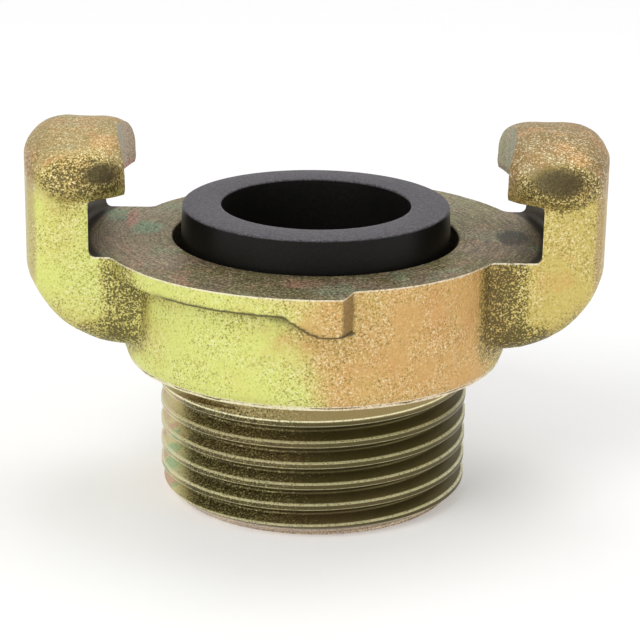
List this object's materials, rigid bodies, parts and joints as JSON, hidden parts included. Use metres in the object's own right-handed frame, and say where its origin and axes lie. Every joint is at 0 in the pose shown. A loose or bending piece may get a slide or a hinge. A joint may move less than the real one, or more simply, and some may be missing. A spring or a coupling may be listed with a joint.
{
  "type": "twist-lock air coupling",
  "caption": "Claw half of a twist-lock compressed air coupling: hooked claws and lugged collars over a round drum, a rubber seal ring in the top face and a male pipe thread below.",
  "frame": {"origin": "centre of the thread's end face", "axes": "+Z along the air passage towards the claws, +X through one claw and -X through the other; the picture looks along +Y"},
  "size_m": [0.0614, 0.0464, 0.0402],
  "materials": {
    "plated_iron": "cast, yellow zinc plated, turned on the seal face, bore and thread",
    "black_rubber": "matt moulded"
  },
  "bodies": {
    "root": {"coupling_body": "plated_iron", "seal_ring": "black_rubber"}
  },
  "joints": []
}
